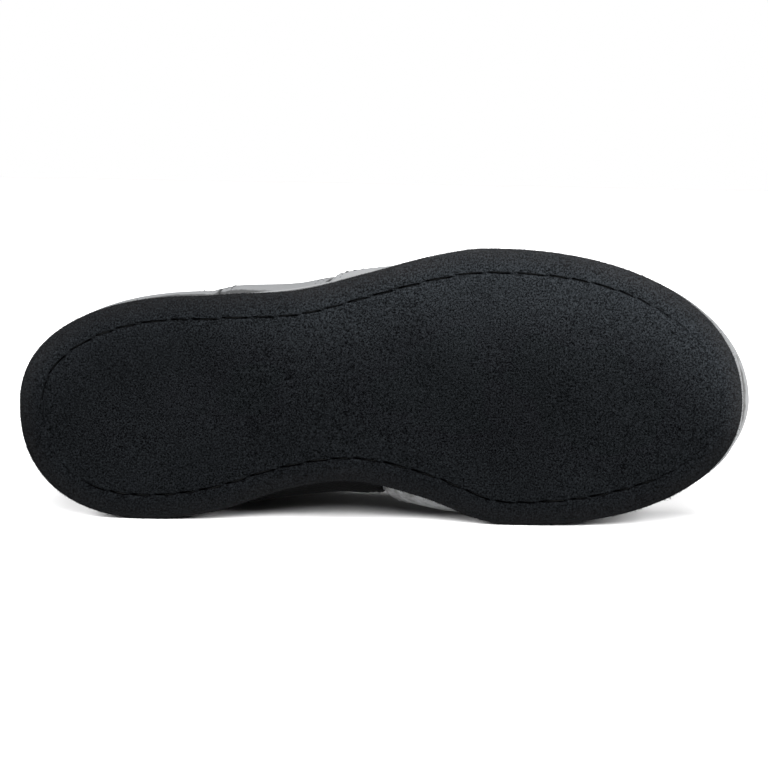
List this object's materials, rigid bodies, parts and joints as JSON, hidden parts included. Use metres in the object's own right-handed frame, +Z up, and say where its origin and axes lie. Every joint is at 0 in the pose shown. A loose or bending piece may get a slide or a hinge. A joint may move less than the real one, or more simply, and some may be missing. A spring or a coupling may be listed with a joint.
{
  "type": "wading boot",
  "caption": "Right-foot wading boot with a stitched black felt outsole, grey synthetic upper, rubber toe guard, padded collar and laced throat, lying on its inner side.",
  "frame": {"origin": "middle of the boot's box, on the surface that it lies on", "axes": "+X from heel to toe, +Y from the sole towards the collar, +Z up, from the inner side to the outer side of the boot"},
  "size_m": [0.3188, 0.2008, 0.1186],
  "materials": {
    "felt": "matted black needle felt",
    "midsole_rubber": "matte light grey moulded rubber",
    "insole_cloth": "dark knit over foam",
    "upper_synthetic": "matte grey synthetic leather with a fine grain",
    "toe_rubber": "matte light grey rubber",
    "guard_synthetic": "matte grey synthetic leather",
    "eyestay_synthetic": "matte dark synthetic leather",
    "padded_cloth": "dark padded cloth",
    "lace_cord": "black braided cord",
    "eyelet_metal": "dark gunmetal"
  },
  "bodies": {
    "root": {"felt_outsole": "felt", "midsole": "midsole_rubber", "insole": "insole_cloth", "upper": "upper_synthetic", "toe_cap": "toe_rubber", "heel_counter": "guard_synthetic", "side_strap_medial": "eyestay_synthetic", "side_strap_lateral": "guard_synthetic", "eyestay": "eyestay_synthetic", "collar": "padded_cloth", "tongue": "padded_cloth", "laces": "lace_cord", "eyelet_medial_1": "eyelet_metal", "eyelet_medial_2": "eyelet_metal", "eyelet_medial_3": "eyelet_metal", "eyelet_medial_4": "eyelet_metal", "eyelet_medial_5": "eyelet_metal", "eyelet_medial_6": "eyelet_metal", "eyelet_lateral_1": "eyelet_metal", "eyelet_lateral_2": "eyelet_metal", "eyelet_lateral_3": "eyelet_metal", "eyelet_lateral_4": "eyelet_metal", "eyelet_lateral_5": "eyelet_metal", "eyelet_lateral_6": "eyelet_metal"}
  },
  "joints": []
}
